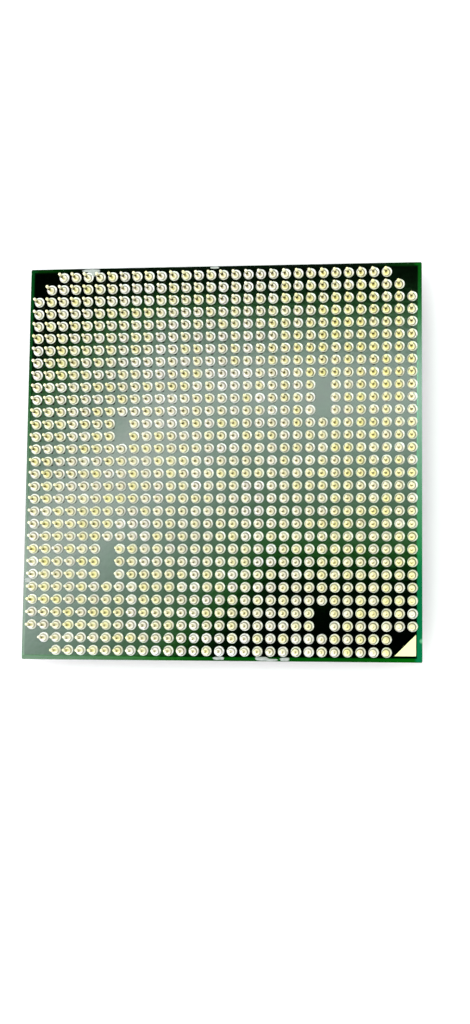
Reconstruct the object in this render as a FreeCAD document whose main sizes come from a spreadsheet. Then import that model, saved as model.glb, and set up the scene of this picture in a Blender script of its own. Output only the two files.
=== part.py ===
import FreeCAD, Part
import math
import os
import Sketcher

# A desktop processor in a pin-grid package, lying on its metal lid with the pins up.
# Millimetres. X runs to the right and Y away from the first corner, +Z points out of the pins.
# The origin is the centre of the lid's outer face, which rests on the table.

SIZES = [
    # the laminated board, which reaches past the outer pins' axes by its margin
    ("board_margin", 0.95),
    ("board_thickness", 1.2),
    ("board_corner_radius", 0.15),
    # the pins and the solder that holds them
    ("pin_pitch", 1.27),
    ("pin_length", 2.0),
    ("pin_diameter", 0.305),
    ("pin_head_diameter", 0.8),
    ("pin_head_height", 0.15),
    ("solder_gap", 0.17),
    # the lid, a stepped plate with a hollow underside
    ("lid_setback", 1.3),
    ("lid_corner_radius", 1.8),
    ("lid_height", 2.2),
    ("flange_thickness", 1.0),
    ("lid_ledge", 1.7),
    ("lid_face_corner_radius", 2.4),
    ("lid_edge_radius", 0.25),
    ("rim_width", 3.0),
    ("cavity_corner_radius", 1.5),
    # the silicone bead between the lid's rim and the board
    ("seal_thickness", 0.15),
    ("seal_width", 2.0),
    ("seal_inner_radius", 0.2),
    ("vent_width", 2.5),
    # the chip and what holds it
    ("die_length", 16.0),
    ("die_width", 14.0),
    ("die_thickness", 0.8),
    ("bump_height", 0.08),
    ("thermal_layer_thickness", 0.25),
    ("underfill_reach", 0.9),
    ("underfill_rise", 0.45),
    ("underfill_lip", 0.12),
    # the ceramic capacitors beside the chip
    ("capacitor_length", 1.0),
    ("capacitor_width", 0.5),
    ("capacitor_height", 0.5),
    ("terminal_length", 0.22),
    ("terminal_step", 0.02),
    ("capacitor_spacing", 1.7),
    ("capacitor_clearance", 0.6),
    # the plated triangle at the first corner
    ("mark_leg", 2.1),
    ("mark_inset", 0.62),
    ("foil_thickness", 0.035),
]

# The pins' places: lettered rows from right to left, numbered from the first corner's edge up.
ROW_LETTERS = (
    "A B C D E F G H J K L M N P R T U V W Y AA AB AC AD AE AF AG AH AJ AK AL"
).split()
PLACES = range(1, len(ROW_LETTERS) + 1)
MIDDLE_PLACE = (len(ROW_LETTERS) + 1) // 2
EMPTY_PLACES = {
    "A": (1, 2, 30, 31),
    "B": (1, 2, 31),
    "H": (3, 4, 20, 21, 22),
    "AD": (18, 19),
    "AE": (7, 8, 9),
    "AK": (1, 31),
    "AL": (1, 2, 30, 31),
}
CAPACITORS_PER_ROW = 9
CAPACITOR_ROWS = 2

# Sides and diameters that several pieces share. Each follows from the pins' grid and a margin.
BOARD_SIDE = f"({len(ROW_LETTERS) - 1} * Sizes.pin_pitch + 2 * Sizes.board_margin)"
LID_SIDE = f"({BOARD_SIDE} - 2 * Sizes.lid_setback)"
LID_FACE_SIDE = f"({LID_SIDE} - 2 * Sizes.lid_ledge)"
SOLDER_DIAMETER = "(Sizes.pin_pitch - Sizes.solder_gap)"

# Heights that several pieces share.
BOARD_BOTTOM = "Sizes.lid_height + Sizes.seal_thickness"
BOARD_TOP = BOARD_BOTTOM + " + Sizes.board_thickness"
DIE_BOTTOM = BOARD_BOTTOM + " - Sizes.bump_height - Sizes.die_thickness"
CAVITY_DEPTH = (
    "Sizes.bump_height + Sizes.die_thickness + Sizes.thermal_layer_thickness"
    " - Sizes.seal_thickness"
)

# Two edges nearer than this, in millimetres, lie at the same place.
SAME_PLACE = 1e-4


def write_sizes(sheet):
    for row, (name, size) in enumerate(SIZES, start=1):
        sheet.set(f"A{row}", name)
        sheet.set(f"B{row}", str(size))
        sheet.setAlias(f"B{row}", name)


def new_body(doc, label, base_z="0", base_x="0", base_y="0"):
    body = doc.addObject("PartDesign::Body", label)
    body.Label = label
    body.AllowCompound = True
    body.setExpression("Placement.Base.x", base_x)
    body.setExpression("Placement.Base.y", base_y)
    body.setExpression("Placement.Base.z", base_z)
    return body


def origin_feature(body, role):
    return [item for item in body.Origin.OriginFeatures if item.Role == role][0]


def new_sketch(body, name, plane="XY_Plane", lift="0"):
    sketch = body.newObject("Sketcher::SketchObject", name)
    sketch.AttachmentSupport = [(origin_feature(body, plane), "")]
    sketch.MapMode = "FlatFace"
    sketch.setExpression("AttachmentOffset.Base.z", lift)
    return sketch


def bind(sketch, constraint, expression):
    index = sketch.addConstraint(constraint)
    sketch.setExpression(f"Constraints[{index}]", expression)


def number(sketch, expression):
    return float(sketch.evalExpression(expression))


def polygon(sketch, corners):
    """A closed outline with every corner held at its two distances from the origin."""
    points = [FreeCAD.Vector(number(sketch, x), number(sketch, y), 0) for x, y in corners]
    first = sketch.GeometryCount
    for start, end in zip(points, points[1:] + points[:1]):
        sketch.addGeometry(Part.LineSegment(start, end))
    for index, (x, y) in enumerate(corners):
        line = first + index
        before = first + (index - 1) % len(corners)
        sketch.addConstraint(Sketcher.Constraint("Coincident", before, 2, line, 1))
        bind(sketch, Sketcher.Constraint("DistanceX", -1, 1, line, 1, points[index].x), x)
        bind(sketch, Sketcher.Constraint("DistanceY", -1, 1, line, 1, points[index].y), y)


def rounded_rectangle(sketch, width, depth, radius):
    """A rectangle centred on the origin, with an arc at each corner."""
    half_width = number(sketch, width) / 2
    half_depth = number(sketch, depth) / 2
    bend = number(sketch, radius)
    first = sketch.GeometryCount
    turns = [(1, -1), (1, 1), (-1, 1), (-1, -1)]
    centres = [
        FreeCAD.Vector(side * (half_width - bend), end * (half_depth - bend), 0)
        for side, end in turns
    ]
    for index, centre in enumerate(centres):
        start_angle = (index - 1) * math.pi / 2
        circle = Part.Circle(centre, FreeCAD.Vector(0, 0, 1), bend)
        arc = Part.ArcOfCircle(circle, start_angle, start_angle + math.pi / 2)
        previous = centres[index - 1]
        out = FreeCAD.Vector(math.cos(start_angle), math.sin(start_angle), 0) * bend
        sketch.addGeometry(Part.LineSegment(previous + out, centre + out))
        sketch.addGeometry(arc)
    lines = [first + 2 * index for index in range(4)]
    arcs = [first + 2 * index + 1 for index in range(4)]
    for index in range(4):
        following = lines[(index + 1) % 4]
        sketch.addConstraint(Sketcher.Constraint("Tangent", lines[index], 2, arcs[index], 1))
        sketch.addConstraint(Sketcher.Constraint("Tangent", arcs[index], 2, following, 1))
        level = "Horizontal" if index % 2 == 0 else "Vertical"
        sketch.addConstraint(Sketcher.Constraint(level, lines[index]))
    for arc in arcs[1:]:
        sketch.addConstraint(Sketcher.Constraint("Equal", arcs[0], arc))
    sketch.addConstraint(Sketcher.Constraint("Symmetric", lines[0], 1, lines[2], 1, -1, 1))
    bind(sketch, Sketcher.Constraint("Radius", arcs[0], bend), radius)
    bind(
        sketch,
        Sketcher.Constraint("DistanceX", lines[3], 1, lines[1], 1, 2 * half_width),
        width,
    )
    bind(
        sketch,
        Sketcher.Constraint("DistanceY", lines[0], 1, lines[2], 1, 2 * half_depth),
        depth,
    )


def rectangle(sketch, width, depth, centre_y="0"):
    left = f"-({width}) / 2"
    right = f"({width}) / 2"
    near = f"({centre_y}) - ({depth}) / 2"
    far = f"({centre_y}) + ({depth}) / 2"
    polygon(sketch, [(left, near), (right, near), (right, far), (left, far)])


def pad(body, name, sketch, length, downwards=False):
    feature = body.newObject("PartDesign::Pad", name)
    feature.Profile = sketch
    feature.Reversed = downwards
    feature.setExpression("Length", length)
    return feature


def pocket(body, name, sketch, depth):
    feature = body.newObject("PartDesign::Pocket", name)
    feature.Profile = sketch
    feature.setExpression("Length", depth)
    return feature


def level_edges(shape, height):
    """The names of the edges that lie flat at one height."""
    names = []
    for index, edge in enumerate(shape.Edges, start=1):
        box = edge.BoundBox
        if max(abs(box.ZMin - height), abs(box.ZMax - height)) < SAME_PLACE:
            names.append(f"Edge{index}")
    return names


def substrate(doc):
    body = new_body(doc, "substrate", BOARD_BOTTOM)
    outline = new_sketch(body, "BoardOutline")
    rounded_rectangle(outline, BOARD_SIDE, BOARD_SIDE, "Sizes.board_corner_radius")
    pad(body, "Board", outline, "Sizes.board_thickness")
    return body


def heat_spreader(doc):
    body = new_body(doc, "heat_spreader")
    face = new_sketch(body, "LidFace")
    rounded_rectangle(face, LID_FACE_SIDE, LID_FACE_SIDE, "Sizes.lid_face_corner_radius")
    pad(body, "RaisedFace", face, "Sizes.lid_height")
    flange_base = "Sizes.lid_height - Sizes.flange_thickness"
    flange = new_sketch(body, "FlangeOutline", lift=flange_base)
    rounded_rectangle(flange, LID_SIDE, LID_SIDE, "Sizes.lid_corner_radius")
    pad(body, "Flange", flange, "Sizes.flange_thickness")
    hollow = new_sketch(body, "HollowOutline", lift="Sizes.lid_height")
    hollow_side = f"{LID_SIDE} - 2 * Sizes.rim_width"
    rounded_rectangle(hollow, hollow_side, hollow_side, "Sizes.cavity_corner_radius")
    cut = pocket(body, "Hollow", hollow, CAVITY_DEPTH)
    doc.recompute()
    edges = level_edges(cut.Shape, 0.0)
    outer = number(hollow, LID_SIDE) / 2
    for name in level_edges(cut.Shape, number(hollow, flange_base)):
        box = cut.Shape.getElement(name).BoundBox
        reach = max(abs(box.XMin), abs(box.XMax), abs(box.YMin), abs(box.YMax))
        if outer - reach < SAME_PLACE:
            edges.append(name)
    rounding = body.newObject("PartDesign::Fillet", "StampedEdges")
    rounding.Base = (cut, edges)
    rounding.setExpression("Radius", "Sizes.lid_edge_radius")
    return body


def lid_seal(doc):
    body = new_body(doc, "lid_seal", "Sizes.lid_height")
    bead = new_sketch(body, "BeadOutline")
    outer = f"{LID_SIDE} - Sizes.rim_width + Sizes.seal_width"
    inner = f"{LID_SIDE} - Sizes.rim_width - Sizes.seal_width"
    rounded_rectangle(bead, outer, outer, "Sizes.seal_inner_radius + Sizes.seal_width")
    rounded_rectangle(bead, inner, inner, "Sizes.seal_inner_radius")
    pad(body, "Bead", bead, "Sizes.seal_thickness")
    vent = new_sketch(body, "VentOutline", lift="Sizes.seal_thickness")
    bead_middle = f"({LID_SIDE} - Sizes.rim_width) / 2"
    rectangle(vent, "Sizes.vent_width", "2 * Sizes.seal_width", bead_middle)
    pocket(body, "Vent", vent, "Sizes.seal_thickness")
    return body


def die(doc):
    body = new_body(doc, "die", DIE_BOTTOM)
    outline = new_sketch(body, "DieOutline")
    rectangle(outline, "Sizes.die_length", "Sizes.die_width")
    pad(body, "Chip", outline, "Sizes.die_thickness")
    return body


def thermal_layer(doc):
    body = new_body(doc, "thermal_layer", DIE_BOTTOM)
    outline = new_sketch(body, "LayerOutline")
    rectangle(outline, "Sizes.die_length", "Sizes.die_width")
    pad(body, "Layer", outline, "Sizes.thermal_layer_thickness", downwards=True)
    return body


def underfill(doc):
    """A sloped resin skirt that narrows from the board to the die's sides."""
    body = new_body(doc, "underfill", BOARD_BOTTOM)
    wide = new_sketch(body, "SkirtAtBoard")
    reach = "2 * Sizes.underfill_reach"
    rectangle(wide, f"Sizes.die_length + {reach}", f"Sizes.die_width + {reach}")
    narrow = new_sketch(body, "SkirtAtDie", lift="-Sizes.underfill_rise")
    lip = "2 * Sizes.underfill_lip"
    rectangle(narrow, f"Sizes.die_length + {lip}", f"Sizes.die_width + {lip}")
    skirt = body.newObject("PartDesign::AdditiveLoft", "Skirt")
    skirt.Profile = wide
    skirt.Sections = [(narrow, [""])]
    skirt.Ruled = True
    seat = new_sketch(body, "DieSeat", lift="-Sizes.bump_height")
    rectangle(seat, "Sizes.die_length", "Sizes.die_width")
    pocket(body, "Seat", seat, "Sizes.underfill_rise")
    return body


def capacitors(doc):
    """Ceramic blocks with thicker metal ends, in a row along each long side of the die."""
    row_y = (
        "-(Sizes.die_width / 2 + Sizes.underfill_reach + Sizes.capacitor_clearance"
        " + Sizes.capacitor_width / 2)"
    )
    row_x = f"-{CAPACITORS_PER_ROW - 1} / 2 * Sizes.capacitor_spacing"
    body = new_body(doc, "capacitors", BOARD_BOTTOM, row_x, row_y)
    side = new_sketch(body, "BlockSide", plane="XZ_Plane")
    end = "Sizes.capacitor_length / 2"
    shoulder = f"({end} - Sizes.terminal_length)"
    low = "-Sizes.capacitor_height"
    waist = "-(Sizes.capacitor_height - Sizes.terminal_step)"
    polygon(side, [
        (f"-{end}", "0"),
        (f"-{end}", low),
        (f"-{shoulder}", low),
        (f"-{shoulder}", waist),
        (shoulder, waist),
        (shoulder, low),
        (end, low),
        (end, "0"),
    ])
    block = pad(body, "Block", side, "Sizes.capacitor_width")
    block.SideType = "Symmetric"
    doc.recompute()
    rows = body.newObject("PartDesign::LinearPattern", "BlockRows")
    rows.Originals = [block]
    rows.Direction = (origin_feature(body, "X_Axis"), [""])
    rows.Mode = "Spacing"
    rows.Occurrences = CAPACITORS_PER_ROW
    rows.setExpression("Offset", "Sizes.capacitor_spacing")
    rows.Direction2 = (origin_feature(body, "Y_Axis"), [""])
    rows.Mode2 = "Spacing"
    rows.Occurrences2 = CAPACITOR_ROWS
    rows.setExpression("Offset2", f"-2 * {row_y}")
    rows.Spacings2 = [-1.0] * (CAPACITOR_ROWS - 1)
    body.Tip = rows
    return body


def corner_mark(doc, label, height, downwards):
    """A right triangle of plated foil, its right angle towards the board's first corner."""
    body = new_body(doc, label, height)
    outline = new_sketch(body, label + "_outline")
    corner = f"({BOARD_SIDE} / 2 - Sizes.mark_inset)"
    far = f"({corner} - Sizes.mark_leg)"
    polygon(outline, [(corner, f"-{corner}"), (corner, f"-{far}"), (far, f"-{corner}")])
    pad(body, label + "_foil", outline, "Sizes.foil_thickness", downwards)
    return body


def pin_profile(body):
    """Half of a pin's section: solder fillet, nail head and straight shank."""
    profile = new_sketch(body, body.Label + "_profile", plane="XZ_Plane")
    shank = "Sizes.pin_diameter / 2"
    polygon(profile, [
        ("0", "0"),
        (f"{SOLDER_DIAMETER} / 2", "0"),
        ("Sizes.pin_head_diameter / 2", "Sizes.pin_head_height"),
        (shank, "Sizes.pin_head_height"),
        (shank, "Sizes.pin_length"),
        ("0", "Sizes.pin_length"),
    ])
    return profile


def pin_row(doc, letters, row):
    """One lettered row: a turned pin, repeated along Y, with wider steps over empty places."""
    places = [place for place in PLACES if place not in EMPTY_PLACES.get(letters, ())]
    label = "pins_row_" + letters.lower()
    row_x = f"{MIDDLE_PLACE - row} * Sizes.pin_pitch"
    row_y = f"{places[0] - MIDDLE_PLACE} * Sizes.pin_pitch"
    body = new_body(doc, label, BOARD_TOP, row_x, row_y)
    profile = pin_profile(body)
    pin = body.newObject("PartDesign::Revolution", label + "_turned")
    pin.Profile = profile
    pin.ReferenceAxis = (profile, ["V_Axis"])
    pin.Angle = 360
    doc.recompute()
    pattern = body.newObject("PartDesign::LinearPattern", label + "_repeated")
    pattern.Originals = [pin]
    pattern.Direction = (origin_feature(body, "Y_Axis"), [""])
    pattern.Mode = "Spacing"
    pattern.Occurrences = len(places)
    steps = [f"{after - place} * Sizes.pin_pitch" for place, after in zip(places, places[1:])]
    pattern.setExpression("Spacings", "list(" + "; ".join(steps) + ")")
    body.Tip = pattern
    return body


def check(doc, bodies):
    for item in doc.Objects:
        if "Invalid" in item.State or "Error" in item.State:
            raise RuntimeError(f"{item.Label} did not compute: {item.State}")
    for body in bodies:
        if body.Shape.isNull() or not body.Shape.isValid():
            raise RuntimeError(f"{body.Label} has no valid shape")


def main():
    doc = FreeCAD.newDocument("Processor")
    sheet = doc.addObject("Spreadsheet::Sheet", "Sizes")
    write_sizes(sheet)
    doc.recompute()
    bodies = [
        substrate(doc),
        heat_spreader(doc),
        lid_seal(doc),
        die(doc),
        thermal_layer(doc),
        underfill(doc),
        capacitors(doc),
        corner_mark(doc, "corner_mark_pin_side", BOARD_TOP, downwards=False),
        corner_mark(doc, "corner_mark_lid_side", BOARD_BOTTOM, downwards=True),
    ]
    for row, letters in enumerate(ROW_LETTERS, start=1):
        bodies.append(pin_row(doc, letters, row))
    doc.recompute()
    check(doc, bodies)
    os.makedirs("parts", exist_ok=True)
    for body in bodies:
        body.Shape.exportStep(f"parts/{body.Label}.step")
        solids = body.Shape.Solids
        box = body.Shape.BoundBox
        print(f"{body.Label}: {len(solids)} solids, {body.Shape.Volume:.4f} mm3,", box)


main()
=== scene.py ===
import math
import random

import bmesh
import bpy
from mathutils import Euler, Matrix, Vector, noise


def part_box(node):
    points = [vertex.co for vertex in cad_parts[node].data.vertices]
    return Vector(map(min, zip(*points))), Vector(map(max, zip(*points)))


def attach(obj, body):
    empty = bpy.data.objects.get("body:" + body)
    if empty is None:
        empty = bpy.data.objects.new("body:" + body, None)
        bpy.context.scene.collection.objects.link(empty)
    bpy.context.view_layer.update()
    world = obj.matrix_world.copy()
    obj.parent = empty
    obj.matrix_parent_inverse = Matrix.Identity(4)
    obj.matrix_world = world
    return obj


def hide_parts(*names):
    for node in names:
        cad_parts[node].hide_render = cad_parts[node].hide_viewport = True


# A pin-grid processor on its lid, pins up: the finish of the board, lid and chip, and turned pins
# with solder rings in place of the plain ones. Sizes are in millimetres unless a name says metres.

MM = 0.001
SEED = 938
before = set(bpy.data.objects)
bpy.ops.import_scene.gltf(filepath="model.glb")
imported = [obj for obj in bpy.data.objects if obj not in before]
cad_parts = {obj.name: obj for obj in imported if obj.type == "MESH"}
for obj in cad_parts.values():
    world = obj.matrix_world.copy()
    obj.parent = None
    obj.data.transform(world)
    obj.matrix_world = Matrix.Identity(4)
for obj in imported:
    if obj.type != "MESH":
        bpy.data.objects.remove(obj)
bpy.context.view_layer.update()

# The pins: their grid, length and shank as on the part itself, then the radii of head and solder
# and the number of corners in a ring.
PITCH = 1.27
PIN_ROWS = sorted(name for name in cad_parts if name.startswith("pins_row_"))
PIN_LENGTH = 2.0
SHANK_RADIUS = 0.1525
HEAD_RADIUS = 0.325
SOLDER_RADIUS = 0.53
LATHE_STEPS = 18
# The pins were set a little to the lower left of their pads' middles, all alike.
PAD_SHIFT = Vector((0.01, 0.01))
PIN_SHIFT = Vector((-0.07, -0.055))
# The shanks and, more faintly, the pads' solder carry painted shade on their lower left
# side. The groove between head and solder has painted shade all round.
SHANK_SHADE_WAY = math.radians(222)
PAD_SHADE_WAY = math.radians(205)
# How pins differ: each leans from this height up, by up to about this much at its tip. Its radii
# shrink to this share at most, its solder is higher on one side by up to this share, its painted
# shade fades to this share, and its plating is at least this pale, less this much where it is
# yellow.
LEAN_FOOT = 0.2
LEAN_REACH = 0.012
LEAST_SWELL = 0.97
MOST_TILT = 0.25
LEAST_SHADE = 0.7
LEAST_PALE = 0.25
YELLOWING = 0.55


def node_box(name):
    """Lowest and highest corner of a CAD node, in millimetres."""
    low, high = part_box(name)
    return Vector(low) / MM, Vector(high) / MM


BOARD_HIGH = node_box("substrate")[1]
BOARD_TOP = BOARD_HIGH.z
HALF_BOARD = BOARD_HIGH.x

# The copper under the mask ends short of the board's edge. It lies a little to the left and is
# turned a little, and its own edge is a soft step.
BORDER_WIDTH = 0.36
COPPER_SHIFT = Vector((-0.095, 0.02))
COPPER_TURN = 0.0044
COPPER_EDGE = (-0.09, 0.05)
COPPER_TINTS = ((0.0003, 0.0040, 0.0008), (0.0004, 0.0060, 0.0011))
# The small nick in the right edge: its place, where it fades out and where it is full.
NICK = Vector((19.97, -17.9))
NICK_REACH = 0.30
NICK_CORE = 0.08
NICK_TINT = (0.16, 0.45, 0.26)
# The strip of mask without copper: two shades of the back strip, and its corners; the left
# strip; the front strip and its right end; the right strip and its back end. The right strip's
# extra lightness, fading towards its back, and the front strip's lighter right end are painted
# light coming in through the laminate's edge. Then where these colours start and are full, along
# X or Y.
STRIP_TINTS = ((0.0002, 0.002, 0.0003), (0.0003, 0.004, 0.0005))
STRIP_CORNER_TINT = (0.0005, 0.022, 0.0010)
LEFT_STRIP_TINT = (0.0013, 0.040, 0.0062)
FRONT_STRIP_TINTS = ((0.0006, 0.060, 0.0018), (0.0007, 0.092, 0.0026))
RIGHT_STRIP_LIT_TINTS = ((0.0018, 0.146, 0.0530), (0.0012, 0.070, 0.0040))
CORNER_SPAN = (15.0, 18.5)
LEFT_SPAN = (-19.2, -19.6)
FRONT_SPAN = (-19.2, -19.5)
RIGHT_SPAN = (19.2, 19.5)
FRONT_TO_RIGHT_SPAN = (13.0, 18.0)
RIGHT_TO_BACK_SPAN = (8.0, 18.5)
# The plies that show on the board's side.
PLY_THICKNESS = 0.17
PLY_TINTS = ((0.10, 0.20, 0.055), (0.22, 0.27, 0.10))
MASK_GRAIN_DEPTH = 0.0025


# Node helpers

def new_material(name):
    material = bpy.data.materials.new(name)
    material.use_nodes = True
    material.node_tree.nodes.clear()
    return material


class Shader:
    """Short calls for building a node tree."""

    def __init__(self, tree):
        self.tree = tree

    def add(self, kind, inputs=None, **settings):
        node = self.tree.nodes.new(kind)
        for key, value in settings.items():
            setattr(node, key, value)
        for key, value in (inputs or {}).items():
            if isinstance(value, bpy.types.NodeSocket):
                self.tree.links.new(value, node.inputs[key])
            else:
                node.inputs[key].default_value = value
        return node

    def math(self, operation, a, b=0.0, clamp=False):
        node = self.add("ShaderNodeMath", {0: a, 1: b}, operation=operation, use_clamp=clamp)
        return node.outputs[0]

    def vector_math(self, operation, a, b):
        return self.add("ShaderNodeVectorMath", {0: a, 1: b}, operation=operation)

    def ramp(self, factor, stops, smooth=False):
        """A colour ramp. A stop is a place and a colour, or one number for a grey."""
        node = self.add("ShaderNodeValToRGB", {"Fac": factor})
        node.color_ramp.interpolation = "EASE" if smooth else "LINEAR"
        while len(node.color_ramp.elements) < len(stops):
            node.color_ramp.elements.new(0.5)
        for element, (position, colour) in zip(node.color_ramp.elements, stops):
            element.position = position
            element.color = grey(colour) if isinstance(colour, float) else (*colour, 1.0)
        return node.outputs["Color"]

    def mix(self, factor, a, b):
        """The colour a at factor 0, b at factor 1."""
        node = self.add("ShaderNodeMix", data_type="RGBA")
        for key, value in (("Factor", factor), ("A", a), ("B", b)):
            socket = [item for item in node.inputs if item.name == key and item.enabled][0]
            if isinstance(value, bpy.types.NodeSocket):
                self.tree.links.new(value, socket)
            else:
                socket.default_value = value if isinstance(value, float) else (*value, 1.0)
        return [item for item in node.outputs if item.enabled][0]

    def noise(self, vector, scale, detail):
        node = self.add(
            "ShaderNodeTexNoise", {"Vector": vector, "Scale": scale, "Detail": detail}
        )
        return node.outputs["Fac"]

    def bump(self, height, distance, strength):
        node = self.add(
            "ShaderNodeBump", {"Height": height, "Distance": distance, "Strength": strength}
        )
        return node.outputs["Normal"]

    def blend(self, factor, first, second):
        """The first shader at factor 0, the second at factor 1."""
        node = self.add("ShaderNodeMixShader", {"Fac": factor})
        self.tree.links.new(first, node.inputs[1])
        self.tree.links.new(second, node.inputs[2])
        return node.outputs[0]

    def surface(self, shader):
        self.add("ShaderNodeOutputMaterial", {"Surface": shader})


def grey(value):
    return (value, value, value, 1.0)


def between(shader, value, low, high):
    """0 at low and 1 at high, straight in between and level beyond. Low may be the larger."""
    node = shader.add(
        "ShaderNodeMapRange", {"Value": value, "From Min": low, "From Max": high}, clamp=True
    )
    return node.outputs["Result"]


def between_mm(shader, value, span):
    """As between, for a span in millimetres."""
    low, high = span
    return between(shader, value, low * MM, high * MM)


def dress(name, material):
    """Give a CAD node its material."""
    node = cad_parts[name]
    node.data.materials.clear()
    node.data.materials.append(material)


def new_object(name, data):
    piece = bpy.data.objects.new(name, data)
    bpy.context.collection.objects.link(piece)
    return piece


def smooth_object(name, mesh, material):
    """An object with smooth faces from a finished bmesh, which is freed."""
    data = bpy.data.meshes.new(name)
    mesh.to_mesh(data)
    mesh.free()
    for face in data.polygons:
        face.use_smooth = True
    data.materials.append(material)
    return new_object(name, data)


# The board

def border_mask(shader, place):
    """1 over the strip round the board's edge that has no copper under its mask."""
    slant = shader.math("MULTIPLY", place["Y"], COPPER_TURN)
    across = shader.math("SUBTRACT", place["X"], shader.math("ADD", slant, COPPER_SHIFT.x * MM))
    across = shader.math("ABSOLUTE", across)
    along = shader.math("ABSOLUTE", shader.math("SUBTRACT", place["Y"], COPPER_SHIFT.y * MM))
    reach = shader.math("MAXIMUM", across, along)
    edge = (HALF_BOARD - BORDER_WIDTH) * MM
    return between(shader, reach, edge + COPPER_EDGE[0] * MM, edge + COPPER_EDGE[1] * MM)


def side_mask(shader, geometry):
    """1 on the board's upright sides."""
    normal = shader.add("ShaderNodeSeparateXYZ", {"Vector": geometry.outputs["True Normal"]})
    steep = shader.math("ABSOLUTE", normal.outputs["Z"])
    return shader.math("LESS_THAN", steep, 0.5)


def nick_mask(shader, position):
    """1 at the small nick in the mask on the board's right edge."""
    gap = shader.vector_math("DISTANCE", position, (NICK.x * MM, NICK.y * MM, BOARD_TOP * MM))
    return between_mm(shader, gap.outputs["Value"], (NICK_REACH, NICK_CORE))


def strip_tint(shader, position, place, cloud):
    """Mask over bare laminate, with painted light: darkest at the back, lightest at the right
    strip's front.
    """
    tint = shader.ramp(cloud, [(0.3, STRIP_TINTS[0]), (0.7, STRIP_TINTS[1])])
    corner = between_mm(shader, shader.math("ABSOLUTE", place["X"]), CORNER_SPAN)
    tint = shader.mix(corner, tint, STRIP_CORNER_TINT)
    left = between_mm(shader, place["X"], LEFT_SPAN)
    front = between_mm(shader, place["Y"], FRONT_SPAN)
    right = between_mm(shader, place["X"], RIGHT_SPAN)
    tint = shader.mix(left, tint, LEFT_STRIP_TINT)
    # Painted light through the laminate's edge: lighter towards the right, fading up the right
    # strip.
    to_right = between_mm(shader, place["X"], FRONT_TO_RIGHT_SPAN)
    tint = shader.mix(front, tint, shader.mix(to_right, *FRONT_STRIP_TINTS))
    to_back = between_mm(shader, place["Y"], RIGHT_TO_BACK_SPAN)
    tint = shader.mix(right, tint, shader.mix(to_back, *RIGHT_STRIP_LIT_TINTS))
    return shader.mix(nick_mask(shader, position), tint, NICK_TINT)


def board_material():
    """Green mask, glossy over copper, plain over the bare strip, and plies on the sides."""
    material = new_material("solder_mask_over_copper")
    shader = Shader(material.node_tree)
    geometry = shader.add("ShaderNodeNewGeometry")
    position = geometry.outputs["Position"]
    place = shader.add("ShaderNodeSeparateXYZ", {"Vector": position}).outputs
    border = border_mask(shader, place)
    side = side_mask(shader, geometry)
    cloud = shader.noise(position, 900.0, 3.0)
    speck = shader.noise(position, 6000.0, 2.0)
    weave = shader.noise(position, 2600.0, 2.0)
    copper_tint = shader.ramp(cloud, [(0.3, COPPER_TINTS[0]), (0.7, COPPER_TINTS[1])])
    flat_tint = shader.mix(border, copper_tint, strip_tint(shader, position, place, cloud))
    plies_up = shader.math("MULTIPLY", place["Z"], 1.0 / (PLY_THICKNESS * MM))
    ply = shader.math("PINGPONG", plies_up, 1.0)
    side_tint = shader.ramp(ply, [(0.2, PLY_TINTS[0]), (0.8, PLY_TINTS[1])])
    tint = shader.mix(side, flat_tint, side_tint)
    metal = shader.math("SUBTRACT", 1.0, shader.math("MAXIMUM", border, side))
    rough = shader.math("ADD", shader.math("MULTIPLY", speck, 0.04), 0.08)
    height = shader.math("MULTIPLY", weave, 0.9)
    height = shader.math("ADD", height, shader.math("MULTIPLY", speck, 0.2))
    height = shader.math("ADD", height, shader.math("MULTIPLY", metal, 0.6))
    normal = shader.bump(height, MASK_GRAIN_DEPTH * MM, 1.0)
    surface = shader.add(
        "ShaderNodeBsdfPrincipled",
        {
            "Base Color": tint,
            "Metallic": metal,
            "Roughness": rough,
            "Normal": normal,
            "Specular IOR Level": 0.05,
            "Coat Weight": 0.6,
            "Coat Roughness": 0.06,
            "Coat IOR": 1.5,
            "Coat Normal": normal,
        },
    )
    shader.surface(surface.outputs["BSDF"])
    return material


# Metals

# The plating at its yellowest and palest, the solder at its lightest and dullest and where the
# plating is yellow, and the painted shade. The rim tints are those of the same metals seen edge
# on.
YELLOW_GOLD = (1.0, 0.95, 0.38)
PALE_GOLD = (1.0, 0.98, 0.97)
LIGHT_TIN = (0.90, 0.88, 0.94)
DULL_TIN = (0.71, 0.68, 0.72)
WARM_TIN = (0.83, 0.81, 0.77)
SHADE_TINT = (0.050, 0.036, 0.001)
GOLD_RIM_TINT = (1.0, 0.93, 0.48)
TIN_RIM_TINT = (1.0, 1.0, 1.0)
SHADE_RIM_TINT = (0.13, 0.095, 0.004)
# Matt plating and the painted shade scatter light as well.
SATIN_TINT = (0.92, 0.88, 0.60, 1.0)
SATIN_SHARE = 0.6
SHADE_DIFFUSE_TINT = (0.105, 0.080, 0.016, 1.0)


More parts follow.
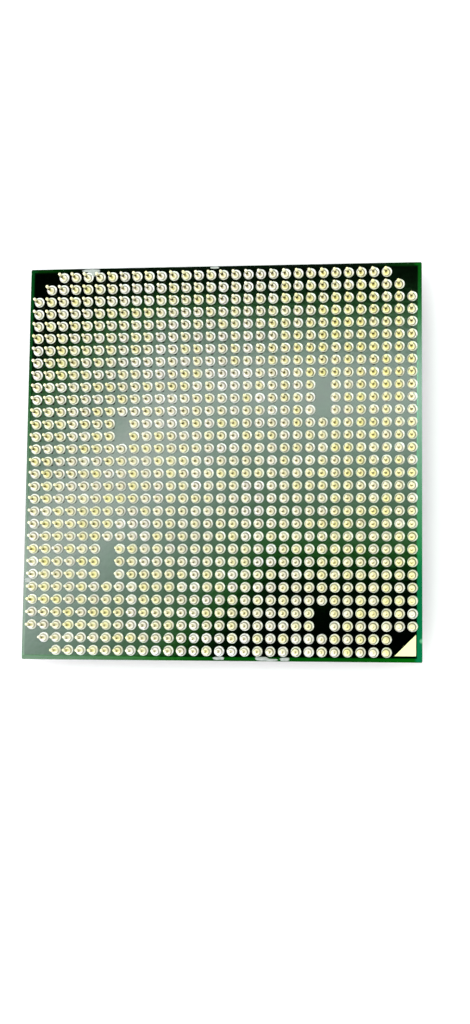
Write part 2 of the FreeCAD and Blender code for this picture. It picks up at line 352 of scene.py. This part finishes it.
def pin_gold_material():
    """Gold plate that turns to solder outside the nail head, with painted shade.

    Each corner's "plating" holds how much solder shows, the dullness of that solder, how pale
    the plating is and how matt it is. The other attribute holds how much painted shade it has.
    """
    material = new_material("gold_plate_and_solder")
    shader = Shader(material.node_tree)
    coat = shader.add("ShaderNodeAttribute", attribute_name="plating").outputs
    parts = shader.add("ShaderNodeSeparateColor", {"Color": coat["Color"]})
    solder = parts.outputs["Red"]
    dullness = parts.outputs["Green"]
    pale = parts.outputs["Blue"]
    painted_shade = shader.add("ShaderNodeAttribute", attribute_name="painted_shade").outputs["Fac"]
    position = shader.add("ShaderNodeNewGeometry").outputs["Position"]
    grain = shader.noise(position, 5200.0, 2.0)
    gold = shader.mix(pale, YELLOW_GOLD, PALE_GOLD)
    tin = shader.mix(pale, WARM_TIN, shader.mix(dullness, LIGHT_TIN, DULL_TIN))
    tint = shader.mix(painted_shade, shader.mix(solder, gold, tin), SHADE_TINT)
    rim_tint = shader.mix(solder, GOLD_RIM_TINT, TIN_RIM_TINT)
    rim_tint = shader.mix(painted_shade, rim_tint, SHADE_RIM_TINT)
    rough = shader.math("ADD", shader.math("MULTIPLY", grain, 0.08), 0.26)
    rough = shader.math("ADD", shader.math("MULTIPLY", coat["Alpha"], 0.30), rough)
    surface = shader.add(
        "ShaderNodeBsdfPrincipled",
        {"Base Color": tint, "Metallic": 1.0, "Roughness": rough, "Specular Tint": rim_tint},
    )
    satin = shader.add("ShaderNodeBsdfDiffuse", {"Color": SATIN_TINT})
    satin_share = shader.math("MULTIPLY", coat["Alpha"], SATIN_SHARE)
    plated = shader.blend(satin_share, surface.outputs["BSDF"], satin.outputs["BSDF"])
    # Painted shade: where it lies, the surface turns partly to a dark diffuse.
    painted_dark = shader.add("ShaderNodeBsdfDiffuse", {"Color": SHADE_DIFFUSE_TINT})
    painted_dark_share = shader.math("MULTIPLY", painted_shade, shader.math("SUBTRACT", 0.8, solder, clamp=True))
    shader.surface(shader.blend(painted_dark_share, plated, painted_dark.outputs["BSDF"]))
    return material


def plain_metal(name, tint, worn_tint, roughness, grain_scale, grain_depth):
    """A metal in two near tints with a fine grain."""
    material = new_material(name)
    shader = Shader(material.node_tree)
    position = shader.add("ShaderNodeNewGeometry").outputs["Position"]
    grain = shader.noise(position, grain_scale, 4.0)
    cloud = shader.noise(position, 260.0, 3.0)
    colour = shader.mix(between(shader, cloud, 0.35, 0.7), tint, worn_tint)
    rough = shader.math("ADD", shader.math("MULTIPLY", grain, 0.15), roughness)
    surface = shader.add(
        "ShaderNodeBsdfPrincipled",
        {
            "Base Color": colour,
            "Metallic": 1.0,
            "Roughness": rough,
            "Normal": shader.bump(grain, grain_depth * MM, 0.7),
        },
    )
    shader.surface(surface.outputs["BSDF"])
    return material


def plain_solid(name, tint, other_tint, roughness, grain_scale, grain_depth, coat=0.0):
    """A resin, ceramic or rubber in two near tints with a fine grain."""
    material = new_material(name)
    shader = Shader(material.node_tree)
    position = shader.add("ShaderNodeNewGeometry").outputs["Position"]
    grain = shader.noise(position, grain_scale, 4.0)
    colour = shader.mix(between(shader, grain, 0.3, 0.7), tint, other_tint)
    rough = shader.math("ADD", shader.math("MULTIPLY", grain, 0.12), roughness)
    surface = shader.add(
        "ShaderNodeBsdfPrincipled",
        {
            "Base Color": colour,
            "Roughness": rough,
            "Normal": shader.bump(grain, grain_depth * MM, 0.7),
            "Coat Weight": coat,
            "Coat Roughness": 0.08,
        },
    )
    shader.surface(surface.outputs["BSDF"])
    return material


def dress_nodes():
    dress("substrate", board_material())
    dress("heat_spreader", plain_metal(
        "nickel_plate", (0.50, 0.49, 0.46), (0.42, 0.41, 0.38), 0.26, 5200.0, 0.006))
    dress("thermal_layer", plain_metal(
        "soft_solder", (0.50, 0.50, 0.48), (0.42, 0.42, 0.41), 0.45, 2600.0, 0.01))
    foil = plain_metal("gold_foil", (1.0, 0.93, 0.58), (1.0, 0.91, 0.52), 0.45, 5200.0, 0.004)
    dress("corner_mark_pin_side", foil)
    dress("corner_mark_lid_side", foil)
    dress("lid_seal", plain_solid(
        "silicone_bead", (0.035, 0.035, 0.035), (0.05, 0.05, 0.048), 0.45, 1500.0, 0.03))
    dress("die", plain_solid(
        "polished_silicon", (0.05, 0.05, 0.07), (0.07, 0.07, 0.09), 0.12, 900.0, 0.0005, coat=0.5))
    dress("underfill", plain_solid(
        "dark_resin", (0.05, 0.045, 0.035), (0.07, 0.06, 0.045), 0.30, 2200.0, 0.01, coat=0.3))
    dress("capacitors", plain_solid(
        "fired_ceramic", (0.30, 0.21, 0.13), (0.38, 0.28, 0.18), 0.50, 5200.0, 0.003))


# The pins

def pin_profile():
    """Rings from the pad's edge up to the tip.

    Each has its radius and height, how much solder shows, how much painted shade it has and how
    matt it is, and how far its middle has moved from the pad's to the pin's.
    """
    return [
        (SOLDER_RADIUS, 0.0, 1.0, 0.0, 0.0, 0.0),
        # The solder's lower left side gets painted shade.
        (0.526, 0.030, 1.0, 0.6, 0.0, 0.0),
        (0.515, 0.060, 1.0, 0.4, 0.0, 0.0),
        (0.498, 0.082, 1.0, 0.3, 0.0, 0.0),
        (0.478, 0.093, 1.0, 0.3, 0.0, 0.0),
        (0.452, 0.091, 1.0, 0.3, 0.0, 0.0),
        (0.428, 0.080, 1.0, 0.3, 0.0, 0.1),
        (0.408, 0.067, 1.0, 0.3, 0.0, 0.2),
        # Painted shade in the groove between solder and head, all round.
        (0.390, 0.052, 0.8, 0.8, 0.0, 0.4),
        (0.358, 0.044, 0.6, 1.0, 0.0, 0.85),
        (HEAD_RADIUS, 0.105, 0.4, 0.1, 0.1, 1.0),
        (0.308, 0.136, 0.4, 0.0, 0.1, 1.0),
        (0.250, 0.164, 0.3, 0.0, 0.0, 1.0),
        (0.190, 0.192, 0.2, 0.0, 0.0, 1.0),
        (SHANK_RADIUS + 0.008, 0.215, 0.2, 0.0, 0.2, 1.0),
        (SHANK_RADIUS, 0.270, 0.1, 0.0, 0.2, 1.0),
        (SHANK_RADIUS, 0.840, 0.1, 0.1, 0.2, 1.0),
        # A band of painted shade up the shank, strongest on its lower left side.
        (SHANK_RADIUS, 0.930, 0.0, 1.0, 0.0, 1.0),
        (SHANK_RADIUS, 1.390, 0.0, 1.0, 0.0, 1.0),
        (SHANK_RADIUS, 1.520, 0.0, 0.0, 0.7, 1.0),
        (SHANK_RADIUS, PIN_LENGTH - 0.150, 0.0, 0.0, 0.8, 1.0),
        (0.146, PIN_LENGTH - 0.095, 0.1, 0.0, 0.6, 1.0),
        (0.122, PIN_LENGTH - 0.052, 0.1, 0.0, 0.4, 1.0),
        (0.088, PIN_LENGTH - 0.021, 0.1, 0.0, 0.5, 1.0),
        (0.048, PIN_LENGTH - 0.006, 0.1, 0.0, 0.7, 1.0),
        (0.010, PIN_LENGTH, 0.1, 0.0, 0.7, 1.0),
    ]


def shade_share(angle, radius, moved):
    """How much of a ring's painted shade shows in one direction."""
    if radius <= SHANK_RADIUS:
        share = 1.0 + 0.9 * math.cos(angle - SHANK_SHADE_WAY)
    elif moved < 0.3:
        share = 0.1 + 0.8 * math.cos(angle - PAD_SHADE_WAY)
    else:
        share = 1.0
    return min(max(share, 0.0), 1.0)


def share_past(value, start, length):
    """0 up to the start, 1 one length further on, straight in between."""
    return min(max((value - start) / length, 0.0), 1.0)


def yellow_share(place):
    """How yellow the plating is at a place: most at the back right, some at the left."""
    right = share_past(place.x, 4.0, 10.0)
    back = share_past(place.y, 2.0, 10.0)
    left = share_past(-place.x, 6.0, 10.0)
    return max(right * (0.6 + 0.4 * back), 0.35 * left)


def add_pin(mesh, plating, painted_shade, place, profile, dice):
    """One turned pin with a lean, a size, solder, plating and painted shade of its own."""
    dullness = dice.random()
    pale = LEAST_PALE + (1 - LEAST_PALE) * dice.random()
    pale = max(pale - YELLOWING * yellow_share(place), 0.0)
    painted_dark = dice.uniform(LEAST_SHADE, 1.0)
    spin = dice.random() * 2 * math.pi
    lean = Vector([dice.uniform(-LEAN_REACH, LEAN_REACH) for axis in range(2)])
    swell = dice.uniform(LEAST_SWELL, 1.0)
    tilt = dice.uniform(0.0, MOST_TILT)
    tilt_way = dice.random() * 2 * math.pi
    before = None
    for radius, height, solder, shaded, matt, moved in profile:
        sway = lean * max(height - LEAN_FOOT, 0.0) / PIN_LENGTH
        middle = place + PAD_SHIFT.lerp(PIN_SHIFT, moved) + sway
        growth = swell if height > 0.0 else 1.0
        ring = []
        for step in range(LATHE_STEPS):
            angle = spin + 2 * math.pi * step / LATHE_STEPS
            x = middle.x + radius * growth * math.cos(angle)
            y = middle.y + radius * growth * math.sin(angle)
            rise = height * (1 + (1 - moved) * tilt * math.cos(angle - tilt_way))
            corner = mesh.verts.new((x * MM, y * MM, (BOARD_TOP + rise) * MM))
            corner[plating] = (solder, dullness, pale, matt)
            # Painted shade, set by height on the pin and by side.
            corner[painted_shade] = shaded * painted_dark * shade_share(angle, radius, moved)
            ring.append(corner)
        if before:
            for step in range(LATHE_STEPS):
                after = (step + 1) % LATHE_STEPS
                mesh.faces.new((before[step], before[after], ring[after], ring[step]))
        else:
            mesh.faces.new(list(reversed(ring)))
        before = ring
    mesh.faces.new(before)


def pin_places(row_name):
    """Pin axes of one row, found from the corners of its CAD solids."""
    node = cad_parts[row_name]
    low, high = node_box(row_name)
    row_x = (low.x + high.x) / 2
    taken = set()
    for corner in node.data.vertices:
        point = (node.matrix_world @ corner.co) / MM
        taken.add(round(point.y / PITCH))
    return [Vector((row_x, place * PITCH)) for place in sorted(taken)]


def make_pins(material):
    dice = random.Random(SEED)
    profile = pin_profile()
    for row_name in PIN_ROWS:
        mesh = bmesh.new()
        plating = mesh.verts.layers.float_color.new("plating")
        painted_shade = mesh.verts.layers.float.new("painted_shade")
        for place in pin_places(row_name):
            add_pin(mesh, plating, painted_shade, place, profile, dice)
        piece = smooth_object("turned_" + row_name, mesh, material)
        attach(piece, "root")
        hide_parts(row_name)


# Dried paste on the board's edges

# Each smear's name, its lowest and its highest corner seen from above, and how thick it is.
SMEARS = [
    ("paste_back_strip", (-14.85, 19.60), (-12.60, 19.98), 0.05),
    ("paste_back_lobe", (-14.25, 19.05), (-12.62, 19.96), 0.11),
    ("paste_back_spot", (-1.45, 19.70), (-0.35, 19.99), 0.05),
    ("paste_front_left", (-0.75, -19.92), (0.70, -19.54), 0.08),
    ("paste_front_middle", (3.42, -19.99), (5.10, -19.52), 0.10),
    ("paste_front_tail", (4.40, -19.99), (6.00, -19.72), 0.05),
    ("paste_front_right", (5.95, -19.99), (7.10, -19.56), 0.08),
    ("paste_left_spot", (-19.92, -12.35), (-19.15, -11.75), 0.04),
]
SMEAR_RINGS = 7
SMEAR_SPOKES = 36
# How far a smear's rim lies under the board's top.
SMEAR_SINK = 0.004


def paste_material():
    material = new_material("dried_paste")
    shader = Shader(material.node_tree)
    position = shader.add("ShaderNodeNewGeometry").outputs["Position"]
    grain = shader.noise(position, 3800.0, 3.0)
    tint = shader.ramp(grain, [(0.3, (0.32, 0.35, 0.34)), (0.7, (0.46, 0.49, 0.48))])
    surface = shader.add(
        "ShaderNodeBsdfPrincipled",
        {"Base Color": tint, "Roughness": 0.6, "Normal": shader.bump(grain, 0.02 * MM, 0.5)},
    )
    shader.surface(surface.outputs["BSDF"])
    return material


def smear_ring(mesh, share, middle, half, thickness):
    """One ring of a smear, at its share of the way from the middle to the rim."""
    points = []
    for spoke in range(SMEAR_SPOKES):
        angle = 2 * math.pi * spoke / SMEAR_SPOKES
        across, along = math.cos(angle), math.sin(angle)
        lump = noise.noise(Vector((across * 1.7, along * 1.7, middle.x)))
        reach = share * (0.84 + 0.16 * lump) / max(abs(across), abs(along)) ** 0.4
        x = middle.x + half.x * reach * across
        y = middle.y + half.y * reach * along
        ripple = 1.0 + 0.5 * noise.noise(Vector((x * 4.0, y * 4.0, middle.y)))
        height = thickness * ripple * (1.0 - share ** 3) - SMEAR_SINK
        points.append(mesh.verts.new((x * MM, y * MM, (BOARD_TOP + height) * MM)))
    return points


def make_smear(name, low, high, thickness, material):
    """A thin lumpy blob inside a box on the board, its rim sunk just under the board's top."""
    middle = (Vector(low) + Vector(high)) / 2
    half = (Vector(high) - Vector(low)) / 2
    mesh = bmesh.new()
    crown = mesh.verts.new((middle.x * MM, middle.y * MM, (BOARD_TOP + thickness) * MM))
    before = None
    for ring in range(1, SMEAR_RINGS + 1):
        points = smear_ring(mesh, ring / SMEAR_RINGS, middle, half, thickness)
        for spoke in range(SMEAR_SPOKES):
            after = (spoke + 1) % SMEAR_SPOKES
            if before:
                mesh.faces.new((before[spoke], points[spoke], points[after], before[after]))
            else:
                mesh.faces.new((crown, points[spoke], points[after]))
        before = points
    mesh.faces.new(list(reversed(before)))
    piece = smooth_object(name, mesh, material)
    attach(piece, "root")


def make_smears():
    material = paste_material()
    for name, low, high, thickness in SMEARS:
        make_smear(name, low, high, thickness, material)


# Floor, light and camera

FLOOR_HALF = 600.0
FLOOR_DROP = 0.05
FLOOR_TINT = (0.85, 0.83, 0.86, 1.0)
# The light added to the floor as the camera, gloss and glass see it, so that it looks white.
FLOOR_LIFT = 0.18


def flat_object(name, corners, material):
    """A sheet with one face, its corners given in millimetres."""
    data = bpy.data.meshes.new(name)
    data.from_pydata([(x * MM, y * MM, 0.0) for x, y in corners], [], [(0, 1, 2, 3)])
    data.materials.append(material)
    return new_object(name, data)


def make_floor():
    material = new_material("white_table")
    shader = Shader(material.node_tree)
    diffuse = shader.add("ShaderNodeBsdfDiffuse", {"Color": FLOOR_TINT})
    path = shader.add("ShaderNodeLightPath")
    seen = shader.math("MAXIMUM", path.outputs["Is Camera Ray"], path.outputs["Is Glossy Ray"])
    seen = shader.math("MAXIMUM", seen, path.outputs["Is Transmission Ray"])
    lift = shader.math("MULTIPLY", seen, FLOOR_LIFT)
    glow = shader.add("ShaderNodeEmission", {"Color": grey(1.0), "Strength": lift})
    blend = shader.add("ShaderNodeAddShader")
    material.node_tree.links.new(diffuse.outputs[0], blend.inputs[0])
    material.node_tree.links.new(glow.outputs[0], blend.inputs[1])
    shader.surface(blend.outputs[0])
    half = FLOOR_HALF
    corners = [(-half, -half), (half, -half), (half, half), (-half, half)]
    floor = flat_object("floor", corners, material)
    floor.location.z = -FLOOR_DROP * MM


# The room as light: its brightness from the horizon up to straight above, its mean strength, and
# how much stronger it is on the window's side.
ROOM_STOPS = [(0.0, 1.0), (0.80, 1.0), (0.89, 0.01), (1.0, 0.005)]
ROOM_STRENGTH = 1.70
WINDOW_WAY = (-0.95, -0.3, 0.0)
WINDOW_STRENGTH = 0.60


def make_world():
    """White to the camera. As light, bright round the horizon and dark overhead."""
    world = bpy.data.worlds.new("studio")
    bpy.context.scene.world = world
    world.use_nodes = True
    tree = world.node_tree
    tree.nodes.clear()
    shader = Shader(tree)
    direction = shader.add("ShaderNodeTexCoord").outputs["Generated"]
    height = shader.add("ShaderNodeSeparateXYZ", {"Vector": direction}).outputs["Z"]
    light = shader.ramp(height, ROOM_STOPS, smooth=True)
    window = shader.vector_math("DOT_PRODUCT", direction, WINDOW_WAY).outputs["Value"]
    strength = shader.math("MULTIPLY", window, WINDOW_STRENGTH)
    strength = shader.math("ADD", strength, ROOM_STRENGTH)
    room = shader.add("ShaderNodeBackground", {"Color": light, "Strength": strength})
    white = shader.add("ShaderNodeBackground", {"Color": grey(1.0), "Strength": 1.0})
    path = shader.add("ShaderNodeLightPath")
    seen = shader.blend(path.outputs["Is Camera Ray"], room.outputs[0], white.outputs[0])
    shader.add("ShaderNodeOutputWorld", {"Surface": seen})


CAMERA_PLACE = Vector((20.13, -22.46, 159.36))
CAMERA_TURN = (6.362, 6.7714, 0.650)
CAMERA_LENS = 55.57
CAMERA_SENSOR = 36.0
CAMERA_CLIP = 5.0
PANEL_HEIGHT = 600.0
PANEL_GLOW = 14.0
# How far past the board a mirrored line of sight runs sideways, as a share of its way before.
PANEL_SPREAD = (PANEL_HEIGHT - BOARD_TOP) / (CAMERA_PLACE.z - BOARD_TOP)
# Where the light's two arms are mirrored on the board: their ends, the reach and the fade of
# each arm's left and right side, and how bright the arm gets.
SHEEN_ARMS = [
    (Vector((-27.0, -19.5)), Vector((-5.0, 2.5)), (14.8, 11.5), (17.0, 17.0), 1.0),
    (Vector((-4.0, 6.0)), Vector((26.0, 5.0)), (10.9, 7.0), (16.5, 16.5), 0.88),
]
# The light's colour from its rim to its middle.
PANEL_TINTS = [
    (0.00, (0.0, 0.0, 0.0)),
    (0.04, (0.004, 0.05, 0.003)),
    (0.10, (0.03, 0.19, 0.02)),
    (0.34, (0.20, 0.34, 0.22)),
    (0.60, (0.46, 0.58, 0.51)),
    (0.80, (0.70, 0.80, 0.77)),
    (1.00, (0.98, 1.0, 1.0)),
]


def seen_on_panel(point):
    """The place on the ceiling light that the camera sees mirrored at a point of the board."""
    return point + (point - CAMERA_PLACE.xy) * PANEL_SPREAD


def arm_glow(shader, position, start, end, left, right):
    """1 along the middle of a straight arm, and down to 0 at its reach on either side."""
    along = (end - start).normalized()
    across = Vector((-along.y, along.x))
    offset = shader.vector_math("SUBTRACT", position, (*(start * MM), 0.0)).outputs["Vector"]
    run = shader.vector_math("DOT_PRODUCT", offset, (*along, 0.0)).outputs["Value"]
    run = shader.math("MINIMUM", shader.math("MAXIMUM", run, 0.0), (end - start).length * MM)
    side = shader.vector_math("DOT_PRODUCT", offset, (*across, 0.0)).outputs["Value"]
    on_left = shader.math("GREATER_THAN", side, 0.0)
    nearest = shader.add(
        "ShaderNodeVectorMath", {0: (*along, 0.0), "Scale": run}, operation="SCALE"
    )
    gap = shader.vector_math("DISTANCE", offset, nearest.outputs["Vector"]).outputs["Value"]
    left_glow, right_glow = [
        between_mm(shader, gap, (reach, reach - fade)) for reach, fade in (left, right)
    ]
    left_glow = shader.math("MULTIPLY", left_glow, on_left)
    right_glow = shader.math("MULTIPLY", right_glow, shader.math("SUBTRACT", 1.0, on_left))
    return shader.math("ADD", left_glow, right_glow)


def make_panel():
    """A ceiling light with two arms, bright along their middles and fading to their edges."""
    spread = 1 + PANEL_SPREAD
    material = new_material("ceiling_light")
    shader = Shader(material.node_tree)
    position = shader.add("ShaderNodeTexCoord").outputs["Object"]
    total = 0.0
    places = []
    for start, end, left, right, share in SHEEN_ARMS:
        start, end = seen_on_panel(start), seen_on_panel(end)
        left, right = [(reach * spread, fade * spread) for reach, fade in (left, right)]
        glow = arm_glow(shader, position, start, end, left, right)
        total = shader.math("MAXIMUM", shader.math("MULTIPLY", glow, share), total)
        reach = max(left[0], right[0])
        for point in (start, end):
            places += [point + Vector((reach, reach)), point - Vector((reach, reach))]
    tint = shader.ramp(total, PANEL_TINTS)
    lamp = shader.add("ShaderNodeEmission", {"Color": tint, "Strength": PANEL_GLOW})
    shader.surface(lamp.outputs[0])
    low_x, high_x = min(p.x for p in places), max(p.x for p in places)
    low_y, high_y = min(p.y for p in places), max(p.y for p in places)
    corners = [(low_x, low_y), (low_x, high_y), (high_x, high_y), (high_x, low_y)]
    panel = flat_object("ceiling_light", corners, material)
    panel.location.z = PANEL_HEIGHT * MM


def make_camera():
    data = bpy.data.cameras.new("camera")
    data.lens = CAMERA_LENS
    data.sensor_width = CAMERA_SENSOR
    data.clip_start = CAMERA_CLIP * MM
    holder = new_object("camera", data)
    holder.location = CAMERA_PLACE * MM
    holder.rotation_euler = Euler([math.radians(turn) for turn in CAMERA_TURN])
    bpy.context.scene.camera = holder


def main():
    dress_nodes()
    make_pins(pin_gold_material())
    make_smears()
    make_floor()
    make_world()
    make_panel()
    make_camera()
    bpy.context.scene.view_settings.view_transform = "Standard"


main()
